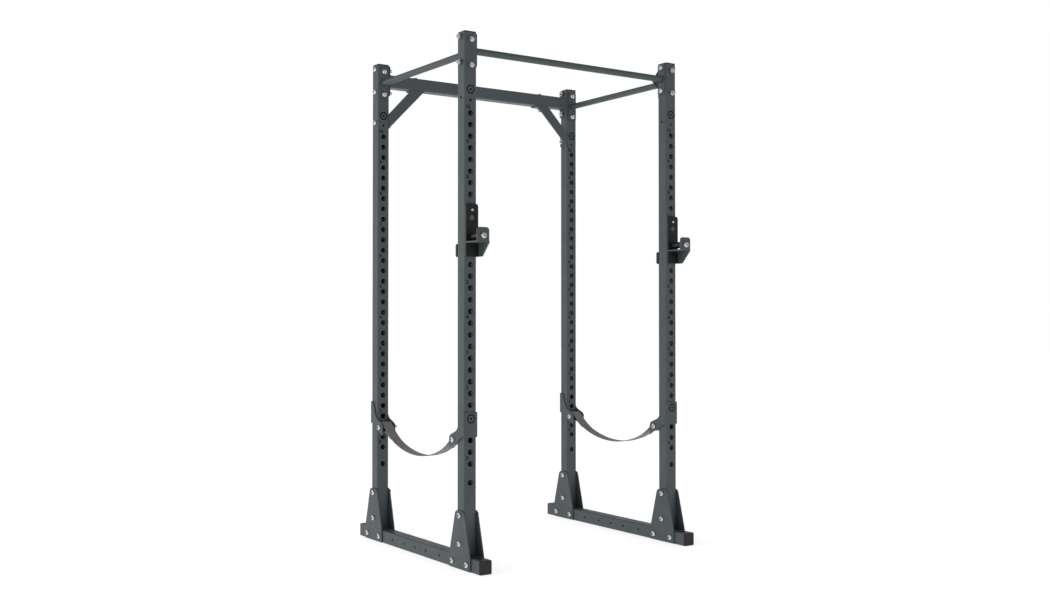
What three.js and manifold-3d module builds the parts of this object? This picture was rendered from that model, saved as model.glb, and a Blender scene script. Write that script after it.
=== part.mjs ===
// Power cage: four punched uprights on two floor tubes, tied together by a rear
// crossmember, three pull-up bars and two corner braces, with a pair of roller
// J-cups and a pair of strap safeties.
// Millimetres. +X is the user's right, +Y is the rear, +Z is up. The origin lies on
// the floor, midway between the four uprights.

import * as THREE from 'three';
import { mergeVertices } from 'three/addons/utils/BufferGeometryUtils.js';
import Module from 'manifold-3d';

const wasm = await Module();
wasm.setup();

// ---- driving dimensions ----------------------------------------------------------
const SPAN_X = 1132; // upright centres, left to right
const SPAN_Y = 805; // upright centres, front to rear
const TUBE = 60; // square tube, outside
const WALL = 3;
const TUBE_CORNER = 6; // outside corner radius
const GAP = 0.3; // clearance kept between touching pieces
const FLOOR_TUBE_LENGTH = 1112;
const TOTAL_HEIGHT = 2303;
const CAP_THICKNESS = 5;
const CAP_PLUG = 7; // depth of the spigot inside the tube

// punched holes in the uprights, front to rear
const HOLE_D = 25;
const HOLE_PITCH = 50;
const HOLE_COUNT = 31;
const LOWEST_GRID_HOLE = 450;
const EXTRA_HOLE = 370;
const SMALL_HOLE_D = 11;
const SMALL_FRONT_HOLE = 2005; // height of the small hole in the front wall
const BRACE_HOLE = 2020; // height of the small hole running left to right

// floor tubes
const SIDE_HOLES_Y = [-220, -100, 0, 100, 220];
const TOP_HOLE_FROM_END = 48;

// foot plates
const PLATE = 6;
const FOOT_HALF_BASE = 85;
const FOOT_HALF_TOP = 35;
const FOOT_HEIGHT = 250;
const FOOT_EDGE_Z = 2; // the plate's lower edge clears the floor
const FOOT_SHOULDER_R = 14;
const FOOT_TOP_R = 16;
const FOOT_BOLT_D = 17;
const FOOT_BOLT_HEIGHTS = [109, 230];
const FOOT_BOLT_REACH = 60; // the two bolts through the floor tube, either side

// top joints
const X_JOINT_Z = 2225; // crossmember and front bar
const Y_JOINT_Z = 2210; // side bars, lower so that the bolts clear each other
const JOINT_BOLT_STEP = 55; // bolts above and below the joint's centre
const FLANGE_HALF_HEIGHT = 73;
const FLANGE_R = 8;
const BAR_FLANGE_HALF_WIDTH = 24;
const EAR_HALF_HEIGHT = 42; // pointed ear on the front bar's flanges
const EAR_REACH = 66; // from the bar's centre to the ear's point
const JOINT_BOLT_HOLE_D = 15;
const BRACE_BOLT_HOLE_D = 13;
const BAR_D = 30;
const BAR_WALL = 3;

// corner braces, measured from the upright's inner face
const BRACE_LOW = 1995;
const BRACE_HIGH = 2065;
const BRACE_NEAR = 124;
const BRACE_FAR = 197;
const BRACE_FLANGE_DEPTH = 55;

// fasteners
const BOLT_D = 14;
const BOLT_END = 8; // how far a bolt stands out of its nut
const HEAD_D = 26;
const HEAD_H = 8;
const HEAD_CROWN = 7; // radius of the head's flat top
const NUT_ACROSS = 22;
const NUT_H = 12;

// roller J-cup
const CUP_PIN_Z = 1500;
const CUP_TOP = 1560;
const CUP_BOTTOM = 1334;
const CUP_SHELF_TOP = 1398;
const CUP_LIP_TOP = 1455;
const CUP_THROAT = 82; // liner face to the lip
const CUP_LINER = 8;
const CUP_WING_FOOT = 42; // how far the side wing stands out at its lower edge
const PIN_D = 24;
const PIN_REACH = 28; // past the upright's front face
const PIN_WINDOW_D = 30; // hole in the liner around the pin's end
const ROLLER_D = 30;
const ROLLER_Z = 1420;
const ROLLER_BORE_D = 13.4;
const AXLE_D = 12;
const AXLE_HOLE_D = 13;
const CUP_FOOT_R = 8;
const CUP_TOP_R = 12;
const LIP_R = 13;

// strap safety
const STRAP_PLATE = 5;
const STRAP_TOP = 669;
const STRAP_BOTTOM = 563;
// the cheek's lower and rear edge: distance from the upright's centre, height, radius
const STRAP_CHEEK = [
  [-22, 569, 10],
  [30, 536, 14],
  [92, 510, 6],
  [89, 565, 14],
  [31, 588, 8],
  [20, 600, 8],
  [-10, STRAP_TOP, 4],
];
const STRAP_CORNER_R = 3;
const STRAP_PIN_HEIGHTS = [600, 650];
const STRAP_PIN_REACH = 15;
const STRAP_BOLT_Z = 549;
const STRAP_BOLT_IN = 59; // from the upright's centre towards the cage's middle
const STRAP_WIDTH = 50;
const STRAP_THICKNESS = 4;
const STRAP_LOW = 447; // lowest point of the hanging strap
const STRAP_STEPS = 16;

// derived
const HALF = TUBE / 2;
const POST_X = SPAN_X / 2;
const POST_Y = SPAN_Y / 2;
const POST_TOP = TOTAL_HEIGHT - CAP_THICKNESS;
const FLOOR_TUBE_END = FLOOR_TUBE_LENGTH / 2 - CAP_THICKNESS;
const FLANGE_X = POST_X - HALF - GAP; // flange face at the left and right joints
const FLANGE_Y = POST_Y - HALF - GAP; // flange face at the front and rear joints
const OVERLAP = 1; // how far united shapes run into each other
const CLEAR = 2; // how far a cutter runs past what it cuts

// ---- materials -------------------------------------------------------------------
const paint = (color, roughness, metalness) =>
  new THREE.MeshStandardMaterial({ color, roughness, metalness });
const STEEL = paint(0x4b5054, 0.55, 0.3);
const PLASTIC = paint(0x191919, 0.6, 0);
const CAP_PLASTIC = paint(0x2e2b29, 0.6, 0);
const ROLLER_PLASTIC = paint(0x262626, 0.45, 0);
const ZINC = paint(0xc4c6c4, 0.3, 0.9);
const WEBBING = paint(0x757273, 0.9, 0);

// ---- solids ----------------------------------------------------------------------
function toSolid(geometry) {
  const bare = geometry.clone();
  bare.deleteAttribute('normal');
  bare.deleteAttribute('uv');
  const merged = mergeVertices(bare, 1e-4);
  return new wasm.Manifold(
    new wasm.Mesh({
      numProp: 3,
      vertProperties: new Float32Array(merged.attributes.position.array),
      triVerts: new Uint32Array(merged.index.array),
    }),
  );
}

function toMesh(name, solid, material) {
  const data = solid.getMesh();
  const geometry = new THREE.BufferGeometry();
  geometry.setAttribute('position', new THREE.BufferAttribute(data.vertProperties, 3));
  geometry.setIndex(new THREE.BufferAttribute(data.triVerts, 1));
  geometry.computeVertexNormals();
  const mesh = new THREE.Mesh(geometry, material);
  mesh.name = name;
  return mesh;
}

const unite = (solids) => solids.reduce((sum, solid) => sum.add(solid));
const cut = (solid, cutters) => cutters.reduce((rest, cutter) => rest.subtract(cutter), solid);

// A block between two corners.
function block(low, high) {
  const size = high.map((value, i) => value - low[i]);
  const geometry = new THREE.BoxGeometry(...size);
  geometry.translate(...low.map((value, i) => value + size[i] / 2));
  return toSolid(geometry);
}

// How an outline drawn in (a, b) is laid into space for each extrusion axis.
const LAY = {
  x: new THREE.Matrix4().set(0, 0, 1, 0, 1, 0, 0, 0, 0, 1, 0, 0, 0, 0, 0, 1),
  y: new THREE.Matrix4().set(1, 0, 0, 0, 0, 0, -1, 0, 0, 1, 0, 0, 0, 0, 0, 1),
  z: new THREE.Matrix4(),
};

// A shape extruded along an axis: (a, b) is (y, z), (x, z) or (x, y).
function extrude(shape, axis, from, to, curveSegments = 1) {
  const depth = to - from;
  const geometry = new THREE.ExtrudeGeometry(shape, { depth, bevelEnabled: false, curveSegments });
  geometry.applyMatrix4(LAY[axis]);
  const offset = { x: [from, 0, 0], y: [0, to, 0], z: [0, 0, from] }[axis];
  geometry.translate(...offset);
  return toSolid(geometry);
}

// A closed outline whose corners are rounded: each point is [a, b, radius].
function outline(points) {
  const shape = new THREE.Shape();
  points.forEach(([a, b, radius = 0], i) => {
    const corner = new THREE.Vector2(a, b);
    const towards = (other) => {
      const point = new THREE.Vector2(other[0], other[1]);
      return point.sub(corner).setLength(radius).add(corner);
    };
    const start = towards(points[(i + points.length - 1) % points.length]);
    const end = towards(points[(i + 1) % points.length]);
    if (i === 0) shape.moveTo(start.x, start.y);
    else shape.lineTo(start.x, start.y);
    if (radius > 0) shape.quadraticCurveTo(a, b, end.x, end.y);
  });
  return shape;
}

function rectangle(halfA, halfB, radius, a = 0, b = 0) {
  return outline([
    [a - halfA, b - halfB, radius],
    [a + halfA, b - halfB, radius],
    [a + halfA, b + halfB, radius],
    [a - halfA, b + halfB, radius],
  ]);
}

// A round profile [radius, height] turned about an axis through the point `at`.
const TURN = {
  x: new THREE.Matrix4().makeRotationZ(-Math.PI / 2),
  y: new THREE.Matrix4(),
  z: new THREE.Matrix4().makeRotationX(Math.PI / 2),
};
function turned(profile, axis, at, sides) {
  const points = profile.map(([radius, height]) => new THREE.Vector2(radius, height));
  const geometry = new THREE.LatheGeometry(points, sides);
  geometry.applyMatrix4(TURN[axis]);
  geometry.translate(...at);
  return toSolid(geometry);
}

// A rod of the given diameter; `axis` says which coordinate runs from `from` to `to`.
function rod(diameter, axis, at, from, to, sides = 10) {
  const radius = diameter / 2;
  const place = [...at];
  place['xyz'.indexOf(axis)] = 0;
  const profile = [[0, from], [radius, from], [radius, to], [0, to]];
  return turned(profile, axis, place, sides);
}

// A hole cutter: a hexagon whose flats touch the round hole.
const HOLE_SIDES = 6;
function hole(diameter, axis, at, from, to) {
  return rod(diameter / Math.cos(Math.PI / HOLE_SIDES), axis, at, from, to, HOLE_SIDES);
}

// A square tube between two ends along an axis, centred on (a, b).
function tube(axis, from, to, a, b) {
  const skin = rectangle(HALF, HALF, TUBE_CORNER, a, b);
  skin.holes.push(rectangle(HALF - WALL, HALF - WALL, 0, a, b));
  return extrude(skin, axis, from, to, 2);
}

// ---- the four posts --------------------------------------------------------------
const SIDES = [
  { key: 'l', word: 'left', sx: -1 },
  { key: 'r', word: 'right', sx: 1 },
];
const ENDS = [
  { key: 'f', word: 'front', sy: -1 },
  { key: 'r', word: 'rear', sy: 1 },
];
const POSTS = ENDS.flatMap((end) =>
  SIDES.map((side) => ({
    key: end.key + side.key,
    side,
    end,
    x: side.sx * POST_X,
    y: end.sy * POST_Y,
  })),
);

const REACH = HALF + 10; // cutters start and stop clear of the tube

function upright(post) {
  const { x, y } = post;
  const through = (diameter, axis, z) => {
    const middle = axis === 'x' ? x : y;
    return hole(diameter, axis, [x, y, z], middle - REACH, middle + REACH);
  };
  const grid = Array.from({ length: HOLE_COUNT }, (_, i) => LOWEST_GRID_HOLE + i * HOLE_PITCH);
  const cutters = [...grid, EXTRA_HOLE].map((z) => through(HOLE_D, 'y', z));
  cutters.push(hole(SMALL_HOLE_D, 'y', [x, y, SMALL_FRONT_HOLE], y - REACH, y));
  cutters.push(through(BRACE_BOLT_HOLE_D, 'x', BRACE_HOLE));
  for (const step of [-JOINT_BOLT_STEP, JOINT_BOLT_STEP]) {
    cutters.push(through(JOINT_BOLT_HOLE_D, 'x', X_JOINT_Z + step));
    cutters.push(through(JOINT_BOLT_HOLE_D, 'y', Y_JOINT_Z + step));
  }
  for (const z of FOOT_BOLT_HEIGHTS) cutters.push(through(FOOT_BOLT_D, 'x', z));
  return cut(tube('z', TUBE + GAP, POST_TOP, x, y), cutters);
}

function topCap({ x, y }) {
  const face = POST_TOP + GAP;
  const inside = HALF - WALL - GAP;
  const plate = rectangle(HALF, HALF, TUBE_CORNER, x, y);
  const spigot = rectangle(inside, inside, 0, x, y);
  return unite([
    extrude(plate, 'z', face, TOTAL_HEIGHT, 2),
    extrude(spigot, 'z', face - CAP_PLUG, face + OVERLAP),
  ]);
}

// ---- floor tubes -----------------------------------------------------------------
function floorTube({ sx }) {
  const x = sx * POST_X;
  const across = (diameter, y, z) => hole(diameter, 'x', [x, y, z], x - REACH, x + REACH);
  const cutters = SIDE_HOLES_Y.map((y) => across(SMALL_HOLE_D, y, HALF));
  for (const { sy } of ENDS) {
    const topHoleY = sy * (FLOOR_TUBE_LENGTH / 2 - TOP_HOLE_FROM_END);
    cutters.push(hole(HOLE_D, 'z', [x, topHoleY, 0], HALF, TUBE + CLEAR));
    for (const reach of [-FOOT_BOLT_REACH, FOOT_BOLT_REACH]) {
      cutters.push(across(FOOT_BOLT_D, sy * POST_Y + reach, HALF));
    }
  }
  return cut(tube('y', -FLOOR_TUBE_END, FLOOR_TUBE_END, x, HALF), cutters);
}

function floorTubeCap({ x, end }) {
  const face = FLOOR_TUBE_END + GAP;
  const inside = HALF - WALL - GAP;
  const span = (from, to) => [end.sy * from, end.sy * to].sort((p, q) => p - q);
  const plate = rectangle(HALF, HALF, TUBE_CORNER, x, HALF);
  const spigot = rectangle(inside, inside, 0, x, HALF);
  return unite([
    extrude(plate, 'y', ...span(face, FLOOR_TUBE_LENGTH / 2)),
    extrude(spigot, 'y', ...span(face - CAP_PLUG, face + OVERLAP)),
  ]);
}

// ---- foot plates -----------------------------------------------------------------
function footPlate({ x, y }, out) {
  const shape = outline([
    [y - FOOT_HALF_BASE, FOOT_EDGE_Z],
    [y + FOOT_HALF_BASE, FOOT_EDGE_Z],
    [y + FOOT_HALF_BASE, TUBE, FOOT_SHOULDER_R],
    [y + FOOT_HALF_TOP, FOOT_HEIGHT, FOOT_TOP_R],
    [y - FOOT_HALF_TOP, FOOT_HEIGHT, FOOT_TOP_R],
    [y - FOOT_HALF_BASE, TUBE, FOOT_SHOULDER_R],
  ]);
  const near = x + out * (HALF + GAP);
  const far = near + out * PLATE;
  const [from, to] = [Math.min(near, far), Math.max(near, far)];
  const holeAt = (holeY, z) => hole(FOOT_BOLT_D, 'x', [x, holeY, z], from - CLEAR, to + CLEAR);
  return cut(extrude(shape, 'x', from, to), [
    ...FOOT_BOLT_HEIGHTS.map((z) => holeAt(y, z)),
    holeAt(y - FOOT_BOLT_REACH, HALF),
    holeAt(y + FOOT_BOLT_REACH, HALF),
  ]);
}

// ---- crossmember and pull-up bars ------------------------------------------------
// Two bolting flanges of one outline, at both ends of a member that runs along an axis.
function flanges(axis, face, side, z, plate) {
  const holes = (from, to) =>
    [-JOINT_BOLT_STEP, JOINT_BOLT_STEP].map((step) => {
      const at = axis === 'x' ? [0, side, z + step] : [side, 0, z + step];
      return hole(JOINT_BOLT_HOLE_D, axis, at, from - CLEAR, to + CLEAR);
    });
  return [-1, 1].map((sign) => {
    const [from, to] = [sign * face, sign * (face - PLATE)].sort((p, q) => p - q);
    return cut(extrude(plate, axis, from, to), holes(from, to));
  });
}

function crossmember() {
  const end = FLANGE_X - OVERLAP;
  const skin = extrude(rectangle(HALF, HALF, TUBE_CORNER, POST_Y, X_JOINT_Z), 'x', -end, end);
  const plate = rectangle(HALF, FLANGE_HALF_HEIGHT, FLANGE_R, POST_Y, X_JOINT_Z);
  const bore = rectangle(HALF - WALL, HALF - WALL, 0, POST_Y, X_JOINT_Z);
  const braceBolts = SIDES.map(({ sx }) => {
    const x = sx * (POST_X - HALF - (BRACE_NEAR + BRACE_FAR) / 2);
    return hole(BRACE_BOLT_HOLE_D, 'z', [x, POST_Y, 0], X_JOINT_Z - REACH, X_JOINT_Z + REACH);
  });
  return cut(unite([skin, ...flanges('x', FLANGE_X, POST_Y, X_JOINT_Z, plate)]), [
    extrude(bore, 'x', -FLANGE_X - CLEAR, FLANGE_X + CLEAR),
    ...braceBolts,
  ]);
}

function pullUpBar(axis, side, z, plate) {
  const face = axis === 'x' ? FLANGE_X : FLANGE_Y;
  const at = axis === 'x' ? [0, side, z] : [side, 0, z];
  const skin = rod(BAR_D, axis, at, -face + OVERLAP, face - OVERLAP, 12);
  const bore = rod(BAR_D - 2 * BAR_WALL, axis, at, -face - CLEAR, face + CLEAR, 6);
  return cut(unite([skin, ...flanges(axis, face, side, z, plate)]), [bore]);
}

function sideBar({ sx }) {
  const x = sx * POST_X;
  const plate = rectangle(BAR_FLANGE_HALF_WIDTH, FLANGE_HALF_HEIGHT, FLANGE_R, x, Y_JOINT_Z);
  return pullUpBar('y', x, Y_JOINT_Z, plate);
}

// The front bar's flanges have a pointed ear that reaches back past the upright.
function frontBar() {
  const [y, z] = [-POST_Y, X_JOINT_Z];
  const plate = outline([
    [y - BAR_FLANGE_HALF_WIDTH, z - FLANGE_HALF_HEIGHT, FLANGE_R],
    [y + BAR_FLANGE_HALF_WIDTH, z - FLANGE_HALF_HEIGHT, FLANGE_R],
    [y + BAR_FLANGE_HALF_WIDTH, z - EAR_HALF_HEIGHT],
    [y + EAR_REACH, z, 3],
    [y + BAR_FLANGE_HALF_WIDTH, z + EAR_HALF_HEIGHT],
    [y + BAR_FLANGE_HALF_WIDTH, z + FLANGE_HALF_HEIGHT, FLANGE_R],
    [y - BAR_FLANGE_HALF_WIDTH, z + FLANGE_HALF_HEIGHT, FLANGE_R],
  ]);
  return pullUpBar('x', y, z, plate);
}

// ---- corner braces ---------------------------------------------------------------
// One folded plate: a diagonal strip flush with the front faces, a flange on the
// upright's inner face and a flange under the crossmember.
function cornerBrace({ sx }) {
  const inner = POST_X - HALF;
  const ceiling = X_JOINT_Z - HALF - GAP;
  const front = POST_Y - HALF;
  const xAt = (distance) => sx * (inner - distance);
  const order = (p, q) => [Math.min(p, q), Math.max(p, q)];
  const strip = outline([
    [xAt(GAP), BRACE_LOW, 3],
    [xAt(GAP), BRACE_HIGH, 3],
    [xAt(BRACE_NEAR), ceiling, 3],
    [xAt(BRACE_FAR), ceiling, 3],
  ]);
  const [postLow, postHigh] = order(xAt(GAP), xAt(GAP + PLATE));
  const [underLow, underHigh] = order(xAt(BRACE_NEAR), xAt(BRACE_FAR));
  const back = front + BRACE_FLANGE_DEPTH;
  const boltX = (underLow + underHigh) / 2;
  return cut(
    unite([
      extrude(strip, 'y', front, front + PLATE),
      block([postLow, front + OVERLAP, BRACE_LOW], [postHigh, back, BRACE_HIGH]),
      block([underLow, front + OVERLAP, ceiling - PLATE], [underHigh, back, ceiling]),
    ]),
    [
      hole(BRACE_BOLT_HOLE_D, 'x', [0, POST_Y, BRACE_HOLE], postLow - CLEAR, postHigh + CLEAR),
      hole(BRACE_BOLT_HOLE_D, 'z', [boltX, POST_Y, 0], ceiling - PLATE - CLEAR, ceiling + CLEAR),
    ],
  );
}

// ---- fasteners -------------------------------------------------------------------
// A dome-headed bolt with its nut along an axis; `from` is the head's seat, `to` the
// nut's seat, and they may run either way.
function boltAndNut(axis, at, from, to) {
  const way = Math.sign(to - from);
  const along = (distance) => from + way * distance;
  const grip = Math.abs(to - from);
  const ordered = (points) => (way > 0 ? points : [...points].reverse());
  const place = [...at];
  place['xyz'.indexOf(axis)] = 0;
  const body = ordered([
    [0, along(-HEAD_H)],
    [HEAD_CROWN, along(-HEAD_H)],
    [HEAD_D / 2, along(0)],
    [BOLT_D / 2, along(0)],
    [BOLT_D / 2, along(grip + NUT_H + BOLT_END)],
    [0, along(grip + NUT_H + BOLT_END)],
  ]);
  const nutRadius = NUT_ACROSS / Math.sqrt(3);
  const nut = ordered([
    [0, along(grip)],
    [nutRadius, along(grip)],
    [nutRadius, along(grip + NUT_H)],
    [0, along(grip + NUT_H)],
  ]);
  return unite([turned(body, axis, place, 8), turned(nut, axis, place, 6)]);
}

// Crossmember and front-bar bolts. The rear ones have their heads outside the cage
// and the front ones have their nuts there.
function xJointBolt({ x, y, side, end }, step) {
  const outside = x + side.sx * (HALF + GAP);
  const inside = x - side.sx * (HALF + 2 * GAP + PLATE);
  const seats = end.key === 'r' ? [outside, inside] : [inside, outside];
  return boltAndNut('x', [x, y, X_JOINT_Z + step], ...seats);
}

// ---- roller J-cup ----------------------------------------------------------------
// The same cup hangs on both front uprights, with its side wing on the +X side.
const FACE = -POST_Y - HALF; // front face of the front uprights
const CUP_PLATE_BACK = FACE - GAP;
const CUP_PLATE_FRONT = CUP_PLATE_BACK - PLATE;
const LINER_BACK = CUP_PLATE_FRONT - GAP;
const LINER_FRONT = LINER_BACK - CUP_LINER;
const LIP_BACK = LINER_FRONT - CUP_THROAT;
const LIP_FRONT = LIP_BACK - PLATE;
const WING_NEAR = HALF + GAP;
const WING_FAR = WING_NEAR + PLATE;
const POST_BACK = -POST_Y + HALF;
const TAB_NEAR = POST_BACK + 2 * GAP + CUP_LINER;
const TAB_FAR = TAB_NEAR + PLATE;
const CUP_WING_TOP = CUP_SHELF_TOP - PLATE;

function cupFrame(x) {
  const plate = outline([
    [x - HALF, CUP_BOTTOM, CUP_FOOT_R],
    [x + WING_FAR, CUP_BOTTOM],
    [x + WING_FAR, CUP_SHELF_TOP],
    [x + HALF, CUP_SHELF_TOP],
    [x + HALF, CUP_TOP, CUP_TOP_R],
    [x - HALF, CUP_TOP, CUP_TOP_R],
  ]);
  const lip = outline([
    [x - HALF, CUP_WING_TOP],
    [x + HALF, CUP_WING_TOP],
    [x + HALF, CUP_LIP_TOP, LIP_R],
    [x - HALF, CUP_LIP_TOP, LIP_R],
  ]);
  const wing = outline([
    [FACE - CUP_WING_FOOT, CUP_BOTTOM],
    [TAB_FAR, CUP_BOTTOM],
    [TAB_FAR, CUP_WING_TOP],
    [FACE, CUP_SHELF_TOP],
    [LIP_FRONT, CUP_SHELF_TOP],
  ]);
  const tab = rectangle(
    (HALF + WING_FAR) / 2,
    (CUP_WING_TOP - CUP_BOTTOM) / 2,
    CUP_FOOT_R,
    x + (WING_FAR - HALF) / 2,
    (CUP_WING_TOP + CUP_BOTTOM) / 2,
  );
  const shelf = block([x - HALF, LIP_FRONT, CUP_WING_TOP], [x + WING_FAR, CUP_PLATE_BACK, CUP_SHELF_TOP]);
  const frame = unite([
    extrude(plate, 'y', CUP_PLATE_FRONT, CUP_PLATE_BACK),
    shelf,
    extrude(lip, 'y', LIP_FRONT, LIP_BACK),
    extrude(wing, 'x', x + WING_NEAR, x + WING_FAR),
    extrude(tab, 'y', TAB_NEAR, TAB_FAR),
    rod(PIN_D, 'y', [x, 0, CUP_PIN_Z], LINER_FRONT + 1, FACE + PIN_REACH),
  ]);
  const axleHole = (from, to) => hole(AXLE_HOLE_D, 'y', [x, 0, ROLLER_Z], from - CLEAR, to + CLEAR);
  return cut(frame, [
    axleHole(LIP_FRONT, LIP_BACK),
    axleHole(CUP_PLATE_FRONT, CUP_PLATE_BACK),
  ]);
}

function cupUpperLiner(x) {
  const shape = outline([
    [x - HALF, CUP_SHELF_TOP + GAP],
    [x + HALF, CUP_SHELF_TOP + GAP],
    [x + HALF, CUP_TOP, CUP_TOP_R],
    [x - HALF, CUP_TOP, CUP_TOP_R],
  ]);
  const through = [LINER_FRONT - CLEAR, LINER_BACK + CLEAR];
  return cut(extrude(shape, 'y', LINER_FRONT, LINER_BACK), [
    rod(PIN_WINDOW_D, 'y', [x, 0, CUP_PIN_Z], ...through),
    hole(AXLE_HOLE_D, 'y', [x, 0, ROLLER_Z], ...through),
  ]);
}

function cupLowerLiner(x) {
  const shape = outline([
    [x - HALF, CUP_BOTTOM, CUP_FOOT_R],
    [x + HALF, CUP_BOTTOM],
    [x + HALF, CUP_WING_TOP - GAP],
    [x - HALF, CUP_WING_TOP - GAP],
  ]);
  return extrude(shape, 'y', LINER_FRONT, LINER_BACK);
}

function cupRearLiner(x) {
  const half = (CUP_WING_TOP - CUP_BOTTOM) / 2;
  const shape = rectangle(HALF - GAP / 2, half, CUP_FOOT_R, x, CUP_BOTTOM + half);
  return extrude(shape, 'y', POST_BACK + GAP, POST_BACK + GAP + CUP_LINER);
}

function cupRoller(x) {
  const [from, to] = [LIP_BACK + 2 * GAP, LINER_FRONT - 2 * GAP];
  const at = [x, 0, ROLLER_Z];
  const bore = rod(ROLLER_BORE_D, 'y', at, from - CLEAR, to + CLEAR, 8);
  return cut(rod(ROLLER_D, 'y', at, from, to, 12), [bore]);
}

// The roller's axle is a bolt: its head sits on the lip, its end in the back plate.
function cupAxle(x) {
  const seat = LIP_FRONT - GAP;
  const end = CUP_PLATE_BACK - 1;
  const profile = [
    [0, seat - HEAD_H],
    [HEAD_CROWN, seat - HEAD_H],
    [HEAD_D / 2, seat],
    [AXLE_D / 2, seat],
    [AXLE_D / 2, end],
    [0, end],
  ];
  return turned(profile, 'y', [x, 0, ROLLER_Z], 10);
}

// ---- strap safety ----------------------------------------------------------------
// A U-shaped bracket drawn for a front upright at the origin, opening to the rear;
// the rear brackets are the same piece turned about Z.
const BRACKET_FACE = -HALF - GAP;
const BRACKET_OUT = BRACKET_FACE - STRAP_PLATE;
const CHEEK_NEAR = HALF + GAP;
const CHEEK_FAR = CHEEK_NEAR + STRAP_PLATE;

function strapBracket({ x, y, end }) {
  const cheek = outline([
    [BRACKET_OUT, STRAP_BOTTOM, STRAP_CORNER_R],
    ...STRAP_CHEEK,
    [BRACKET_OUT, STRAP_TOP, STRAP_CORNER_R],
  ]);
  const boltAt = [0, STRAP_BOLT_IN, STRAP_BOLT_Z];
  const boltHole = hole(JOINT_BOLT_HOLE_D, 'x', boltAt, -CHEEK_FAR - CLEAR, CHEEK_FAR + CLEAR);
  const half = (STRAP_TOP - STRAP_BOTTOM) / 2;
  const front = rectangle(CHEEK_FAR, half, STRAP_CORNER_R, 0, STRAP_BOTTOM + half);
  const bracket = unite([
    extrude(front, 'y', BRACKET_OUT, BRACKET_FACE),
    extrude(cheek, 'x', -CHEEK_FAR, -CHEEK_NEAR),
    extrude(cheek, 'x', CHEEK_NEAR, CHEEK_FAR),
    ...STRAP_PIN_HEIGHTS.map((z) =>
      rod(PIN_D, 'y', [0, 0, z], BRACKET_FACE - OVERLAP, BRACKET_FACE + STRAP_PIN_REACH),
    ),
  ]);
  const turn = end.sy > 0 ? 180 : 0;
  return cut(bracket, [boltHole]).rotate([0, 0, turn]).translate([x, y, 0]);
}

function strapBolt({ x, y, end }) {
  const boltY = y - end.sy * STRAP_BOLT_IN;
  return boltAndNut('x', [x, boltY, STRAP_BOLT_Z], x - CHEEK_FAR - GAP, x + CHEEK_FAR + GAP);
}

function safetyStrap({ sx }) {
  const reach = POST_Y - STRAP_BOLT_IN - BOLT_D / 2 - 2 * GAP;
  const sag = STRAP_BOLT_Z - STRAP_LOW;
  const curve = Array.from({ length: STRAP_STEPS + 1 }, (_, i) => {
    const t = -1 + (2 * i) / STRAP_STEPS;
    return [reach * t, STRAP_LOW + sag * t * t];
  });
  const upper = curve.map(([y, z]) => [y, z + STRAP_THICKNESS]).reverse();
  const x = sx * POST_X;
  const band = outline([...curve, ...upper]);
  return extrude(band, 'x', x - STRAP_WIDTH / 2, x + STRAP_WIDTH / 2);
}

// ---- assembly --------------------------------------------------------------------
const cage = new THREE.Group();
const add = (name, solid, material) => cage.add(toMesh(name, solid, material));

for (const post of POSTS) {
  add(`upright_${post.key}`, upright(post), STEEL);
  add(`top_cap_${post.key}`, topCap(post), PLASTIC);
  add(`floor_tube_cap_${post.key}`, floorTubeCap(post), CAP_PLASTIC);
  add(`foot_plate_${post.key}_outer`, footPlate(post, post.side.sx), STEEL);
  add(`foot_plate_${post.key}_inner`, footPlate(post, -post.side.sx), STEEL);
  add(`joint_bolt_${post.key}_upper`, xJointBolt(post, JOINT_BOLT_STEP), ZINC);
  add(`joint_bolt_${post.key}_lower`, xJointBolt(post, -JOINT_BOLT_STEP), ZINC);
  add(`strap_bracket_${post.key}`, strapBracket(post), STEEL);
  add(`strap_bolt_${post.key}`, strapBolt(post), ZINC);
}

for (const side of SIDES) {
  const x = side.sx * POST_X;
  add(`floor_tube_${side.word}`, floorTube(side), STEEL);
  add(`side_pull_up_bar_${side.word}`, sideBar(side), STEEL);
  add(`corner_brace_${side.word}`, cornerBrace(side), STEEL);
  add(`safety_strap_${side.word}`, safetyStrap(side), WEBBING);
  add(`j_cup_frame_${side.word}`, cupFrame(x), STEEL);
  add(`j_cup_upper_liner_${side.word}`, cupUpperLiner(x), PLASTIC);
  add(`j_cup_lower_liner_${side.word}`, cupLowerLiner(x), PLASTIC);
  add(`j_cup_rear_liner_${side.word}`, cupRearLiner(x), PLASTIC);
  add(`j_cup_roller_${side.word}`, cupRoller(x), ROLLER_PLASTIC);
  add(`j_cup_axle_${side.word}`, cupAxle(x), ZINC);
}

add('rear_crossmember', crossmember(), STEEL);
add('front_pull_up_bar', frontBar(), STEEL);

export default cage;
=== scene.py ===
"""The looks of the power cage: finely rounded steelwork, bolts, plastic liners and
webbing straps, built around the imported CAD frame. The object's sizes are in
millimetres, and the mesh helpers turn them into Blender's metres. The materials, the
camera, the floor and the lights are in metres."""

import math

import bmesh
import bpy
from mathutils import Matrix, Vector


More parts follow.
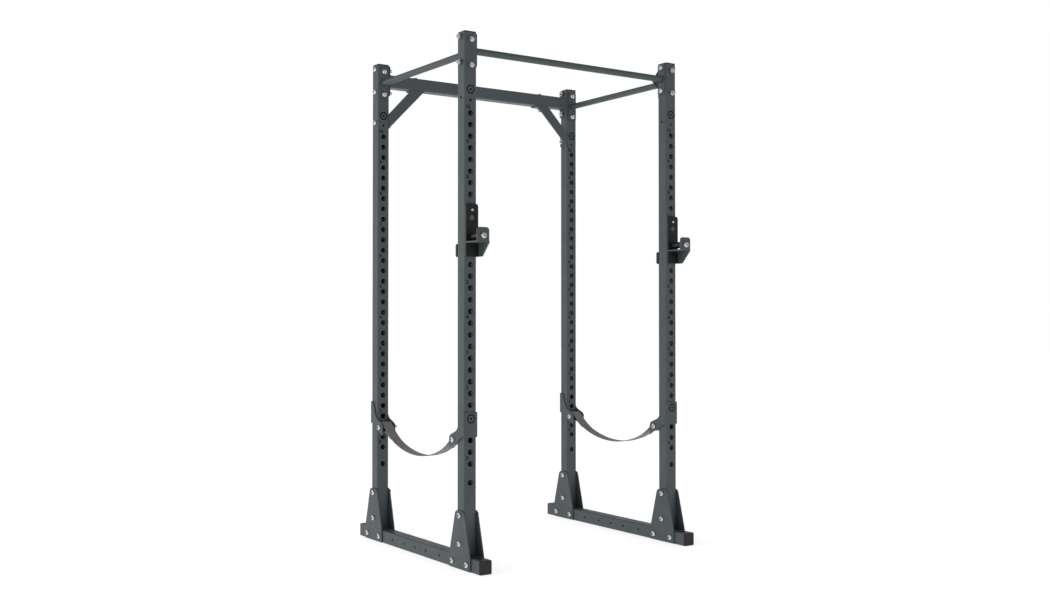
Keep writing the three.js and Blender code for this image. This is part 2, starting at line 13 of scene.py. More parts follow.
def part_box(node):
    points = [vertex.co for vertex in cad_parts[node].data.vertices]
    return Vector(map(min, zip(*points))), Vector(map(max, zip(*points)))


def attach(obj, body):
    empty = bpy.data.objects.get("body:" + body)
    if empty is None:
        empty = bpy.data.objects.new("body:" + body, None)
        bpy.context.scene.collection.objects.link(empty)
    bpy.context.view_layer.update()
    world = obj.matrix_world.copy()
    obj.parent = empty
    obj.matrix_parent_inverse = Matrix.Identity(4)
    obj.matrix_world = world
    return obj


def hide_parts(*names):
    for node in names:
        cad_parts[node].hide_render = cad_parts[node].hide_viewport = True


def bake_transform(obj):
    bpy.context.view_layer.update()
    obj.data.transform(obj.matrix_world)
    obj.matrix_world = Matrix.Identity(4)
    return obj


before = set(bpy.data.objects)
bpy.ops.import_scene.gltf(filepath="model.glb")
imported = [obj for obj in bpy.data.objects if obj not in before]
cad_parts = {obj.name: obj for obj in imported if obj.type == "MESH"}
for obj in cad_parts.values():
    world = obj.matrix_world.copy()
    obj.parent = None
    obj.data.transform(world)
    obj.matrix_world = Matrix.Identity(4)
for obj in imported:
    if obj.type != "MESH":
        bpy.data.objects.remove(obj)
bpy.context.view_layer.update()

# ---- sizes, in millimetres, as the CAD part has them ---------------------------------
MM = 0.001
HALF = 30  # half of the 60 mm square tube
WALL = 3
TUBE_CORNER = 6
CAP_SPIGOT = 7  # how far a cap's spigot reaches into its tube
FLOOR_CAP_THICKNESS = 5
GAP = 0.3
PLATE = 6
JOIN = 1  # how far joined solids run into each other, and cutters past a face

HOLE_D = 25
HOLE_PITCH = 50
HOLE_COUNT = 31
LOWEST_GRID_HOLE = 450
EXTRA_HOLE = 370
SMALL_HOLE_D = 11
SMALL_FRONT_HOLE = 2005
BRACE_HOLE = 2020
TOP_MARK_Z = 2052

SIDE_HOLES_Y = (-220, -100, 0, 100, 220)
TOP_HOLE_FROM_END = 48
FOOT_HALF_BASE = 85
FOOT_HALF_TOP = 35
FOOT_HEIGHT = 250
FOOT_EDGE_Z = 2
FOOT_SHOULDER_R = 14
FOOT_TOP_R = 16
FOOT_BOLTS = ((0, 109), (0, 230), (-60, 30), (60, 30))

X_JOINT_Z = 2225
Y_JOINT_Z = 2210
JOINT_BOLT_STEP = 55
FLANGE_HALF_HEIGHT = 73
FLANGE_CORNER = 9
BAR_FLANGE_HALF_WIDTH = 24
EAR_HALF_HEIGHT = 42
EAR_REACH = 66
EAR_CORNER = 3
# The ear's black pad is painted shade: a thin dark sheet that darkens the ear where the bars
# shade it.
EAR_SHADE_PAD = 1.5  # thickness of the black pad on the ear's inner face
EAR_SHADE_PAD_INSET = 1
BAR_D = 30
WELD_LENGTH = 3.2
WELD_RISE = 3

BRACE_LOW = 1995
BRACE_HIGH = 2065
BRACE_NEAR = 124
BRACE_FAR = 197
BRACE_FLANGE_DEPTH = 55
BRACE_CORNER = 4
BRACE_FLANGE_CORNER = 5

BOLT_D = 14
BOLT_END = 10
HEAD_D = 26
HEAD_H = 9
NUT_ACROSS = 22
NUT_H = 12

CUP_PIN_Z = 1500
CUP_TOP = 1560
CUP_TOP_CORNER = 12
CUP_FOOT_CORNER = 8
CUP_WING_CORNER = 4
CUP_TAB_CORNER = 9
LIP_CORNER = 14
CUP_BOTTOM = 1334
CUP_SHELF_TOP = 1398
CUP_LIP_TOP = 1455
CUP_THROAT = 82
CUP_LINER = 8
CUP_WING_FOOT = 42
CUP_SCREWS_Z = (1534, 1371)
PIN_D = 24
PIN_REACH = 28
PIN_SUNK = 1  # the pin's end is this far behind the liner's face
PIN_WINDOW_D = 30
ROLLER_D = 30
ROLLER_Z = 1420
ROLLER_BORE_D = 13.4
ROLLER_END_D = 25  # where the roller's rounded ends meet its flat faces
ROLLER_ROUNDING = 3
ROLLER_SHOULDER = 1  # the rounding's middle point is this far from the flat face
ROLLER_SHOULDER_DROP = 0.8  # and this far below the roller's full radius
AXLE_D = 12
AXLE_HEAD_SCALE = (1.45, 1.1, 1.1)
SCREW_SCALE = (0.42, 0.48, 0.48)

STRAP_PLATE = 5
STRAP_TOP = 669
STRAP_BOTTOM = 563
STRAP_CHEEK = [  # a cheek's edge: distance from the upright's centre, height, corner
    (-22, 569, 10),
    (30, 536, 14),
    (92, 510, 7),
    (89, 565, 14),
    (31, 588, 8),
    (20, 600, 8),
    (-10, STRAP_TOP, 5),
]
STRAP_CORNER = 2
STRAP_PIN_HEIGHTS = (600, 650)
STRAP_PIN_REACH = 15
STRAP_MARK_Z = 642
STRAP_BOLT_Z = 549
STRAP_BOLT_IN = 59
STRAP_WIDTH = 50
STRAP_THICKNESS = 4
STRAP_LOW = 447
SLEEVE_D = 42
SLEEVE_FLAT = 7.5  # from the bolt to the flat that leaves room to draw the bracket
STRAP_FOLD = 110  # how far the sewn end runs back under the strap
STRAP_EASE = 62  # how far from its sleeve the sewn end has closed up to the strap
STRAP_LIFT_FROM = 0.55  # the share of the half strap where its rise to the sleeve begins
STRAP_SLACK = 0.4  # between the sleeve and the webbing
STRAP_LAYER_GAP = 0.5  # between the strap and its sewn end

# ---- the posts, read from the frame --------------------------------------------------


class Post:
    """One upright: its name's key, its centre and which way is out."""

    def __init__(self, key):
        low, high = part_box(f"upright_{key}")
        self.key = key
        self.x = (low.x + high.x) / 2 / MM
        self.y = (low.y + high.y) / 2 / MM
        self.bottom = low.z / MM
        self.top = high.z / MM
        self.out_x = math.copysign(1, self.x)
        self.out_y = math.copysign(1, self.y)


POSTS = [Post(key) for key in ("fl", "fr", "rl", "rr")]
POST_X = POSTS[1].x
POST_Y = POSTS[2].y
TOTAL_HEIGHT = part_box("top_cap_fl")[1].z / MM
FLOOR_TUBE_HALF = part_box("floor_tube_cap_rl")[1].y / MM

# ---- mesh building -------------------------------------------------------------------
LAY = {
    "x": lambda a, b, c: (c, a, b),
    "y": lambda a, b, c: (a, c, b),
    "z": lambda a, b, c: (a, b, c),
}


def fillet(points, steps=6):
    """A closed outline with its corners rounded: each point is (a, b, set-back)."""
    loop = []
    for i, (a, b, *rest) in enumerate(points):
        corner = Vector((a, b))
        setback = rest[0] if rest else 0
        if setback == 0:
            loop.append(corner)
            continue
        back = (Vector(points[i - 1][:2]) - corner).normalized()
        ahead = (Vector(points[(i + 1) % len(points)][:2]) - corner).normalized()
        middle = (back + ahead).normalized()
        centre = corner + middle * (setback / middle.dot(back))
        start = corner + back * setback - centre
        end = corner + ahead * setback - centre
        turn = math.atan2(start.cross(end), start.dot(end))
        for k in range(steps + 1):
            loop.append(centre + Matrix.Rotation(turn * k / steps, 2) @ start)
    return loop


def rectangle(half_a, half_b, corner, a, b):
    return fillet(
        [
            (a - half_a, b - half_b, corner),
            (a + half_a, b - half_b, corner),
            (a + half_a, b + half_b, corner),
            (a - half_a, b + half_b, corner),
        ]
    )


COARSE = 24  # sides of small round things
ROUND = 40
FINE = 48


def circle(radius, a, b, sides):
    angles = [2 * math.pi * i / sides for i in range(sides)]
    return [Vector((a + radius * math.cos(t), b + radius * math.sin(t))) for t in angles]


def to_mesh(bm):
    bmesh.ops.recalc_face_normals(bm, faces=bm.faces)
    mesh = bpy.data.meshes.new("shape")
    bm.to_mesh(mesh)
    bm.free()
    return mesh


def prism(loop, axis, low, high):
    """A closed outline (a, b) extruded along an axis, from low to high."""
    bm = bmesh.new()
    lay = LAY[axis]
    rings = [
        [bm.verts.new(Vector(lay(p[0], p[1], end)) * MM) for p in loop] for end in (low, high)
    ]
    bm.faces.new(rings[0])
    bm.faces.new(rings[1])
    count = len(loop)
    for i in range(count):
        j = (i + 1) % count
        bm.faces.new((rings[0][i], rings[0][j], rings[1][j], rings[1][i]))
    return to_mesh(bm)


def block(low, high):
    centre_a, centre_b = (low[0] + high[0]) / 2, (low[1] + high[1]) / 2
    half_a, half_b = (high[0] - low[0]) / 2, (high[1] - low[1]) / 2
    return prism(rectangle(half_a, half_b, 0, centre_a, centre_b), "z", low[2], high[2])


def rod(diameter, axis, at, low, high, sides=ROUND):
    """A round bar or a hole's cutter along an axis, through the point at."""
    across = {"x": (at[1], at[2]), "y": (at[0], at[2]), "z": (at[0], at[1])}[axis]
    return prism(circle(diameter / 2, *across, sides), axis, low, high)


def turned(profile, sides=ROUND):
    """A round solid about the X axis: profile is (distance along X, radius), and starts
    and ends on the axis."""
    bm = bmesh.new()
    rings = []
    for along, radius in profile:
        if radius == 0:
            rings.append([bm.verts.new((along * MM, 0, 0))])
            continue
        angles = [2 * math.pi * i / sides for i in range(sides)]
        rings.append(
            [
                bm.verts.new(Vector((along, radius * math.cos(t), radius * math.sin(t))) * MM)
                for t in angles
            ]
        )
    for one, two in zip(rings, rings[1:]):
        for i in range(sides):
            j = (i + 1) % sides
            corners = [one[i % len(one)], one[j % len(one)], two[j % len(two)], two[i % len(two)]]
            bm.faces.new(list(dict.fromkeys(corners)))
    return to_mesh(bm)


def joined(meshes):
    """Several closed shells in one mesh."""
    bm = bmesh.new()
    for mesh in meshes:
        bm.from_mesh(mesh)
    out = bpy.data.meshes.new("shape")
    bm.to_mesh(out)
    bm.free()
    return out


def moved(mesh, matrix):
    copy = mesh.copy()
    copy.transform(matrix)
    return copy


def settled(obj):
    """The object's mesh with its modifiers applied."""
    bpy.context.view_layer.update()
    graph = bpy.context.evaluated_depsgraph_get()
    return bpy.data.meshes.new_from_object(obj.evaluated_get(graph))


def temporary(mesh):
    obj = bpy.data.objects.new("temporary", mesh)
    bpy.context.scene.collection.objects.link(obj)
    return obj


def boolean(mesh, others, operation):
    base = temporary(mesh)
    tools = [temporary(other) for other in others]
    for tool in tools:
        modifier = base.modifiers.new("boolean", "BOOLEAN")
        modifier.object = tool
        modifier.operation = operation
        modifier.solver = "MANIFOLD"
    result = settled(base)
    for obj in [base, *tools]:
        bpy.data.objects.remove(obj)
    return result


def unite(*meshes):
    return boolean(meshes[0], meshes[1:], "UNION")


def cut(mesh, *cutters):
    return boolean(mesh, [joined(cutters)], "DIFFERENCE")


def overlap(mesh, other):
    return boolean(mesh, [other], "INTERSECT")


BEVEL_ANGLE = math.radians(32)
# How far edges are softened, for each kind of piece.
TUBE_EDGE = 0.5
PLATE_EDGE = 0.9
FOLDED_EDGE = 0.8
CAP_EDGE = 1.2
LINER_EDGE = 1.0
SLEEVE_EDGE = 0.8
ROLLER_EDGE = 0.4
ZINC_EDGE = 0.35
SCREW_EDGE = 0.2
SHADE_PAD_EDGE = 0.3
PLASTIC_SEGMENTS = 3


def piece(name, mesh, material, body, replaces=(), edge=0, segments=2):
    """A finished, named piece: its edges are softened, and it rides on its body."""
    obj = bpy.data.objects.new(name, mesh)
    bpy.context.scene.collection.objects.link(obj)
    if edge:
        bevel = obj.modifiers.new("edges", "BEVEL")
        bevel.width = edge * MM
        bevel.segments = segments
        bevel.limit_method = "ANGLE"
        bevel.angle_limit = BEVEL_ANGLE
        obj.modifiers.new("shading", "WEIGHTED_NORMAL").keep_sharp = True
    for polygon in mesh.polygons:
        polygon.use_smooth = True
    if edge:
        soft = settled(obj)
        obj.modifiers.clear()
        obj.data = soft
    obj.data.name = name
    obj.data.materials.clear()
    obj.data.materials.append(material)
    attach(obj, body)
    if replaces:
        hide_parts(*replaces)


# ---- materials -----------------------------------------------------------------------


class Nodes:
    """A material's node tree, with short calls for what every material here needs."""

    def __init__(self, name, roughness, metallic=0.0, specular=0.5):
        self.material = bpy.data.materials.new(name)
        self.material.use_nodes = True
        self.tree = self.material.node_tree
        self.shader = self.tree.nodes["Principled BSDF"]
        self.shader.inputs["Metallic"].default_value = metallic
        self.shader.inputs["Roughness"].default_value = roughness
        self.shader.inputs["Specular IOR Level"].default_value = specular
        self.place = self.tree.nodes.new("ShaderNodeTexCoord").outputs["Object"]

    def add(self, kind, **settings):
        node = self.tree.nodes.new("ShaderNode" + kind)
        for key, value in settings.items():
            if key in node.inputs:
                node.inputs[key].default_value = value
            else:
                setattr(node, key, value)
        return node

    def link(self, source, target):
        self.tree.links.new(source, target)

    def noise(self, scale, detail=3.0, roughness=0.5):
        node = self.add("TexNoise", Scale=scale, Detail=detail, Roughness=roughness)
        self.link(self.place, node.inputs["Vector"])
        return node.outputs["Fac"]

    def ramp(self, factor, low, high, start=0.35, end=0.65):
        """A colour that runs from low to high as the factor goes from start to end."""
        node = self.add("ValToRGB")
        for element, position, colour in zip(node.color_ramp.elements, (start, end), (low, high)):
            element.position = position
            element.color = (*colour, 1)
        self.link(factor, node.inputs["Fac"])
        return node.outputs["Color"]

    def mix(self, share, one, two):
        """Two colours mixed, with a fixed share of the second."""
        node = self.add("Mix", data_type="RGBA")
        node.inputs[0].default_value = share
        self.link(one, node.inputs[6])
        self.link(two, node.inputs[7])
        return node.outputs[2]

    def span(self, factor, low, high, start=0.3, end=0.7):
        node = self.add("MapRange")
        values = {"From Min": start, "From Max": end, "To Min": low, "To Max": high}
        for key, value in values.items():
            node.inputs[key].default_value = value
        self.link(factor, node.inputs["Value"])
        return node.outputs["Result"]

    def math(self, operation, one, two=None):
        node = self.add("Math", operation=operation)
        for i, value in enumerate((one, two)):
            if value is None:
                continue
            if isinstance(value, (int, float)):
                node.inputs[i].default_value = value
            else:
                self.link(value, node.inputs[i])
        return node.outputs[0]

    def bump(self, height, strength, distance, under=None):
        node = self.add("Bump", Strength=strength, Distance=distance)
        self.link(height, node.inputs["Height"])
        if under:
            self.link(under, node.inputs["Normal"])
        return node.outputs["Normal"]

    def finish(self, colour=None, roughness=None, normal=None):
        sources = {"Base Color": colour, "Roughness": roughness, "Normal": normal}
        for socket, source in sources.items():
            if source:
                self.link(source, self.shader.inputs[socket])
        return self.material


def powder_coat(name, dark, light, specular=0.35):
    """Satin powder coat: a fine orange peel, a faint mottle and a slightly uneven gloss."""
    nodes = Nodes(name, roughness=0.45, specular=specular)
    colour = nodes.ramp(nodes.noise(7.0, 4.0), dark, light)
    roughness = nodes.span(nodes.noise(26.0, 3.0), 0.40, 0.52)
    peel = nodes.bump(nodes.noise(620.0, 2.0), 0.10, 0.0004)
    grain = nodes.bump(nodes.noise(2400.0, 1.0), 0.07, 0.0002, peel)
    return nodes.finish(colour, roughness, grain)


def moulded_plastic(name, dark, light, roughness):
    """Moulded or cut plastic: a fine matt grain with faint specks."""
    nodes = Nodes(name, roughness=roughness, specular=0.35)
    mottle = nodes.ramp(nodes.noise(90.0, 5.0, 0.65), dark, light, 0.42, 0.68)
    finish = nodes.span(nodes.noise(300.0), roughness - 0.06, roughness + 0.08)
    grain = nodes.bump(nodes.noise(1500.0, 3.0, 0.6), 0.18, 0.0003)
    return nodes.finish(mottle, finish, grain)


def zinc_plate():
    """Bright zinc: polished metal with a faint drawn grain and cloudy patches."""
    nodes = Nodes("bright_zinc", roughness=0.2, metallic=1.0)
    colour = nodes.ramp(nodes.noise(60.0, 4.0), (0.54, 0.55, 0.55), (0.68, 0.69, 0.68))
    roughness = nodes.span(nodes.noise(400.0, 3.0), 0.06, 0.13)
    grain = nodes.bump(nodes.noise(1800.0, 2.0), 0.06, 0.0002)
    return nodes.finish(colour, roughness, grain)


RIB_PITCH = 0.0032  # one rib of the webbing, across the strap
PICK_PITCH = 0.0021  # one weft pick, along the strap


def woven_webbing():
    """Heavy grey webbing: ribs across the width, crossed by the picks of the weft, with painted
    shade in the grooves between them and a random tone over it.
    """
    nodes = Nodes("grey_webbing", roughness=0.85, specular=0.2)
    nodes.shader.inputs["Sheen Weight"].default_value = 0.25
    nodes.shader.inputs["Sheen Roughness"].default_value = 0.5
    run = nodes.add("UVMap", uv_map="strap").outputs["UV"]
    split = nodes.add("SeparateXYZ")
    nodes.link(run, split.inputs[0])
    across, along = split.outputs[0], split.outputs[1]
    wave = nodes.math("SINE", nodes.math("MULTIPLY", across, math.pi / RIB_PITCH))
    weft = nodes.math("MULTIPLY", along, 2 * math.pi / PICK_PITCH)
    # Every second rib's picks are half a pick further on.
    offset = nodes.math("MULTIPLY", nodes.math("SIGN", wave), math.pi / 2)
    ribs = nodes.math("ABSOLUTE", wave)
    picks = nodes.math("SINE", nodes.math("ADD", weft, offset))
    relief = nodes.math("ADD", nodes.math("MULTIPLY", picks, 0.35), 0.65)
    weave = nodes.math("MULTIPLY", ribs, relief)
    # The colour is darker where the weave's relief is low: painted shade in the grooves between
    # ribs and picks, mixed with a random fuzz and patches of the webbing's own tone.
    fuzz = nodes.noise(900.0, 4.0, 0.7)
    groove_shade_part = nodes.math("MULTIPLY", weave, 0.7)
    fuzz_part = nodes.math("MULTIPLY", fuzz, 0.3)
    groove_shade_and_fuzz = nodes.math("ADD", groove_shade_part, fuzz_part)
    thread_and_groove_shade = nodes.ramp(groove_shade_and_fuzz, (0.120, 0.112, 0.112), (0.290, 0.274, 0.275), 0.15, 0.85)
    patch = nodes.ramp(nodes.noise(16.0, 3.0), (0.185, 0.176, 0.176), (0.240, 0.229, 0.229))
    colour = nodes.mix(0.35, thread_and_groove_shade, patch)
    normal = nodes.bump(weave, 0.55, 0.0008)
    return nodes.finish(colour, None, nodes.bump(fuzz, 0.15, 0.0003, normal))


STEEL = powder_coat("grey_powder_coat", (0.056, 0.069, 0.076), (0.064, 0.078, 0.086))
MARK = powder_coat("engraved_mark", (0.006, 0.007, 0.008), (0.009, 0.010, 0.011), 0.05)
LINER = moulded_plastic(
    "black_liner_plastic", (0.0025, 0.0022, 0.002), (0.006, 0.0055, 0.005), 0.6
)
CAP = moulded_plastic("black_cap_plastic", (0.004, 0.0045, 0.005), (0.008, 0.0085, 0.009), 0.5)
FLOOR_CAP = moulded_plastic(
    "brown_black_cap_plastic", (0.010, 0.0088, 0.008), (0.016, 0.014, 0.013), 0.5
)
ROLLER = moulded_plastic("roller_nylon", (0.010, 0.010, 0.010), (0.016, 0.016, 0.016), 0.4)
ZINC = zinc_plate()
WEBBING = woven_webbing()

# ---- camera --------------------------------------------------------------------------
EYE = (-3.208, -4.736, 1.069)
HEADING = math.radians(34.19)  # from straight ahead (+Y) towards +X
PITCH = math.radians(0.907)
LENS = 40.49
SENSOR_WIDTH = 36

camera = bpy.data.objects.new("camera", bpy.data.cameras.new("camera"))
bpy.context.scene.collection.objects.link(camera)
bpy.context.scene.camera = camera
camera.data.lens = LENS
camera.data.sensor_width = SENSOR_WIDTH
camera.location = EYE
camera.rotation_euler = (math.pi / 2 + PITCH, 0, -HEADING)

# ---- fasteners -----------------------------------------------------------------------
SOCKET_ACROSS = 12
SOCKET_DEPTH = 6.5
HEAD_RIM = 1.6  # the straight part of the head's edge
NUT_CHAMFER = 1.6
STUD_CHAMFER = 1
HEAD_CROWN = 5.5  # radius of the flat on top of the dome
DOME_STEPS = 7
HEX = [math.radians(60 * i) for i in range(6)]


def hexagon(across):
    radius = across / math.sqrt(3)
    return [Vector((radius * math.cos(t), radius * math.sin(t))) for t in HEX]


def head_shape():
    """A domed head with a hex socket. It faces -X and seats at x = 0."""
    rim = HEAD_D / 2
    dome = []
    for i in range(DOME_STEPS, -1, -1):
        turn = math.pi / 2 * i / DOME_STEPS
        along = -HEAD_RIM - (HEAD_H - HEAD_RIM) * math.sin(turn)
        dome.append((along, HEAD_CROWN + (rim - HEAD_CROWN) * math.cos(turn)))
    solid = turned([(-HEAD_H, 0), *dome, (0, rim), (0, 0)])
    return cut(solid, prism(hexagon(SOCKET_ACROSS), "x", -HEAD_H - JOIN, -HEAD_H + SOCKET_DEPTH))


def nut_shape():
    """A chamfered hex nut with the bolt's end standing out. Seats at x = 0."""
    corner = NUT_ACROSS / math.sqrt(3)
    chamfer = turned(
        [
            (-JOIN, 0),
            (-JOIN, corner - NUT_CHAMFER),
            (NUT_CHAMFER, corner + JOIN),
            (NUT_H - NUT_CHAMFER, corner + JOIN),
            (NUT_H + JOIN, corner - NUT_CHAMFER),
            (NUT_H + JOIN, 0),
        ]
    )
    end = NUT_H + BOLT_END
    radius = BOLT_D / 2
    tip = radius - STUD_CHAMFER
    stud = turned([(0, 0), (0, radius), (end - STUD_CHAMFER, radius), (end, tip), (end, 0)])
    return unite(overlap(prism(hexagon(NUT_ACROSS), "x", 0, NUT_H), chamfer), stud)


HEAD = head_shape()
NUT = nut_shape()
TURN_TO = {
    "x": Matrix.Identity(4),
    "y": Matrix.Rotation(math.pi / 2, 4, "Z"),
    "z": Matrix.Rotation(-math.pi / 2, 4, "Y"),
}


def shank_shape(diameter, length):
    return turned([(0, 0), (0, diameter / 2), (length, diameter / 2), (length, 0)], COARSE)


def bolt(name, axis, at, seat, nut_seat, body, replaces=()):
    """A bolt along an axis, with its head on seat and its nut on nut_seat."""
    way = math.copysign(1, nut_seat - seat)
    grip = abs(nut_seat - seat)
    facing = Matrix.Identity(4) if way > 0 else Matrix.Rotation(math.pi, 4, "Z")
    if axis == "z" and way < 0:
        facing = Matrix.Rotation(math.pi, 4, "Y")
    start = list(at)
    start["xyz".index(axis)] = seat
    place = Matrix.Translation(Vector(start) * MM) @ TURN_TO[axis] @ facing
    far = Matrix.Translation((grip * MM, 0, 0))
    shape = joined([HEAD, shank_shape(BOLT_D, grip), moved(NUT, far)])
    piece(name, moved(shape, place), ZINC, body, replaces, ZINC_EDGE)


# ---- marks ---------------------------------------------------------------------------
MARK_PROUD = 0.12
RING_ACROSS = 38
RING_BORE = 27
RING_CENTRE = 11
NUMBER_SIZE = 24
NUMBER_BOLDNESS = 0.6
NUMBER_LEFT = 15  # from the hole column to the number's middle
NUMBER_EVERY = 3  # every third hole is numbered


def number_mesh(text, x, y, z):
    """A number standing on a face that looks towards -Y, centred on (x, z)."""
    curve = bpy.data.curves.new("number", "FONT")
    curve.body = text
    curve.size = NUMBER_SIZE * MM
    curve.align_x = "CENTER"
    curve.align_y = "CENTER"
    curve.extrude = MARK_PROUD * MM
    curve.offset = NUMBER_BOLDNESS * MM
    obj = temporary(curve)
    mesh = settled(obj)
    bpy.data.objects.remove(obj)
    place = Matrix.Translation(Vector((x, y, z)) * MM) @ Matrix.Rotation(math.pi / 2, 4, "X")
    return moved(mesh, place)


def hexagon_mark(x, z, face):
    """A plain hexagon ring round a small solid hexagon, on a face that looks towards -Y."""

    def hexagon_prism(across, spare=0):
        loop = [point + Vector((x, z)) for point in hexagon(across)]
        return prism(loop, "y", face - MARK_PROUD - spare, face + spare)

    ring = cut(hexagon_prism(RING_ACROSS), hexagon_prism(RING_BORE, JOIN))
    return joined([ring, hexagon_prism(RING_CENTRE)])


# ---- uprights ------------------------------------------------------------------------
REACH = HALF + 12  # how far a hole's cutter reaches
TUBE_OVERRUN = 5  # how far the bore's cutter passes the tube's ends


def tube(axis, low, high, a, b):
    skin = prism(rectangle(HALF, HALF, TUBE_CORNER, a, b), axis, low, high)
    inside = HALF - WALL
    hollow = rectangle(inside, inside, TUBE_CORNER - WALL, a, b)
    bore = prism(hollow, axis, low - TUBE_OVERRUN, high + TUBE_OVERRUN)
    return cut(skin, bore)


SPIGOT_HALF = HALF - WALL - GAP
SPIGOT_CORNER = 3


def cage_steel(node, mesh, edge=PLATE_EDGE):
    """A steel piece of the cage that takes the place of one CAD node."""
    piece(f"steel_{node}", mesh, STEEL, "cage", [node], edge)


def cage_cap(node, mesh, material):
    name = f"moulded_{node}"
    piece(name, mesh, material, "cage", [node], CAP_EDGE, PLASTIC_SEGMENTS)


def upright(post):
    x, y = post.x, post.y
    grid = [LOWEST_GRID_HOLE + i * HOLE_PITCH for i in range(HOLE_COUNT)]
    cutters = [rod(HOLE_D, "y", (x, y, z), y - REACH, y + REACH) for z in [*grid, EXTRA_HOLE]]
    cutters.append(rod(SMALL_HOLE_D, "y", (x, y, SMALL_FRONT_HOLE), y - REACH, y, COARSE))
    cutters.append(rod(SMALL_HOLE_D, "x", (x, y, BRACE_HOLE), x - REACH, x + REACH, COARSE))
    mesh = cut(tube("z", post.bottom, post.top, x, y), *cutters)
    cage_steel(f"upright_{post.key}", mesh, TUBE_EDGE)

    face = y - HALF
    marks = [hexagon_mark(x, TOP_MARK_Z, face)]
    for i in range(0, HOLE_COUNT, NUMBER_EVERY):
        z = LOWEST_GRID_HOLE + i * HOLE_PITCH + HOLE_PITCH / 2
        marks.append(number_mesh(str(i // NUMBER_EVERY), x - NUMBER_LEFT, face, z))
    piece(f"height_marks_{post.key}", joined(marks), MARK, "cage")

    node = f"top_cap_{post.key}"
    lid = prism(rectangle(HALF, HALF, TUBE_CORNER, x, y), "z", post.top + GAP, TOTAL_HEIGHT)
    spigot_loop = rectangle(SPIGOT_HALF, SPIGOT_HALF, SPIGOT_CORNER, x, y)
    spigot = prism(spigot_loop, "z", post.top - CAP_SPIGOT, post.top + JOIN)
    cage_cap(node, unite(lid, spigot), CAP)


# ---- floor tubes and foot plates -----------------------------------------------------


def floor_tube(word, x):
    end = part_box(f"floor_tube_{word}")[1].y / MM
    cutters = []
    for y in SIDE_HOLES_Y:
        cutters.append(rod(SMALL_HOLE_D, "x", (x, y, HALF), x - REACH, x + REACH, COARSE))
    for sign in (-1, 1):
        at = (x, sign * (FLOOR_TUBE_HALF - TOP_HOLE_FROM_END), 0)
        cutters.append(rod(HOLE_D, "z", at, HALF, HALF + REACH))
    mesh = cut(tube("y", -end, end, x, HALF), *cutters)
    cage_steel(f"floor_tube_{word}", mesh, TUBE_EDGE)


def floor_cap(post):
    node = f"floor_tube_cap_{post.key}"
    tube_end = FLOOR_TUBE_HALF - FLOOR_CAP_THICKNESS
    plate_ends = sorted(post.out_y * d for d in (tube_end + GAP, FLOOR_TUBE_HALF))
    spigot_ends = sorted(post.out_y * d for d in (tube_end - CAP_SPIGOT, tube_end + JOIN))
    plate = prism(rectangle(HALF, HALF, TUBE_CORNER, post.x, HALF), "y", *plate_ends)
    spigot_loop = rectangle(SPIGOT_HALF, SPIGOT_HALF, SPIGOT_CORNER, post.x, HALF)
    spigot = prism(spigot_loop, "y", *spigot_ends)
    cage_cap(node, unite(plate, spigot), FLOOR_CAP)


def foot_plates(post):
    y = post.y
    loop = fillet(
        [
            (y - FOOT_HALF_BASE, FOOT_EDGE_Z),
            (y + FOOT_HALF_BASE, FOOT_EDGE_Z),
            (y + FOOT_HALF_BASE, 2 * HALF, FOOT_SHOULDER_R),
            (y + FOOT_HALF_TOP, FOOT_HEIGHT, FOOT_TOP_R),
            (y - FOOT_HALF_TOP, FOOT_HEIGHT, FOOT_TOP_R),
            (y - FOOT_HALF_BASE, 2 * HALF, FOOT_SHOULDER_R),
        ]
    )
    for side, sign in (("outer", post.out_x), ("inner", -post.out_x)):
        near = post.x + sign * (HALF + GAP)
        ends = sorted((near, near + sign * PLATE))
        cage_steel(f"foot_plate_{post.key}_{side}", prism(loop, "x", *ends))
    out = HALF + GAP + PLATE
    for number, (along, z) in enumerate(FOOT_BOLTS, 1):
        name = f"foot_bolt_{post.key}_{number}"
        bolt(name, "x", (post.x, y + along, z), post.x - out, post.x + out, "cage")


# ---- top members ---------------------------------------------------------------------
def weld_bead(axis, face, sign, loop):
    """A bead of weld where a tube meets its flange."""
    low, high = sorted((face, face + sign * WELD_LENGTH))
    return prism(loop, axis, low, high)


def flanged(axis, half_length, plate, section, weld):
    """A member along an axis with a bolting flange at each end."""
    parts = [prism(section, axis, -half_length + JOIN, half_length - JOIN)]
    for sign in (-1, 1):
        outer = sign * half_length
        inner = outer - sign * PLATE
        low, high = sorted((outer, inner))
        parts.append(prism(plate, axis, low, high))
        parts.append(weld_bead(axis, inner, -sign, weld))
    return unite(*parts)


FLUSH_GAP = 0.2  # keeps faces that look flush apart, so that they join cleanly


def crossmember():
    node = "rear_crossmember"
    half_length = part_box(node)[1].x / MM
    section = rectangle(HALF - FLUSH_GAP, HALF, TUBE_CORNER, POST_Y, X_JOINT_Z)
    weld = rectangle(
        HALF - FLUSH_GAP / 2, HALF + WELD_RISE, TUBE_CORNER + 2, POST_Y, X_JOINT_Z
    )
    plate = rectangle(HALF, FLANGE_HALF_HEIGHT, FLANGE_CORNER, POST_Y, X_JOINT_Z)
    cage_steel(node, flanged("x", half_length, plate, section, weld))


def pull_up_bar(node, axis, side, z, plate):
    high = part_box(node)[1]
    half_length = (high.x if axis == "x" else high.y) / MM
    section = circle(BAR_D / 2, side, z, FINE)
    weld = circle(BAR_D / 2 + WELD_RISE, side, z, FINE)
    cage_steel(node, flanged(axis, half_length, plate, section, weld))


def side_bar(word, x):
    plate = rectangle(BAR_FLANGE_HALF_WIDTH, FLANGE_HALF_HEIGHT, FLANGE_CORNER, x, Y_JOINT_Z)
    pull_up_bar(f"side_pull_up_bar_{word}", "y", x, Y_JOINT_Z, plate)


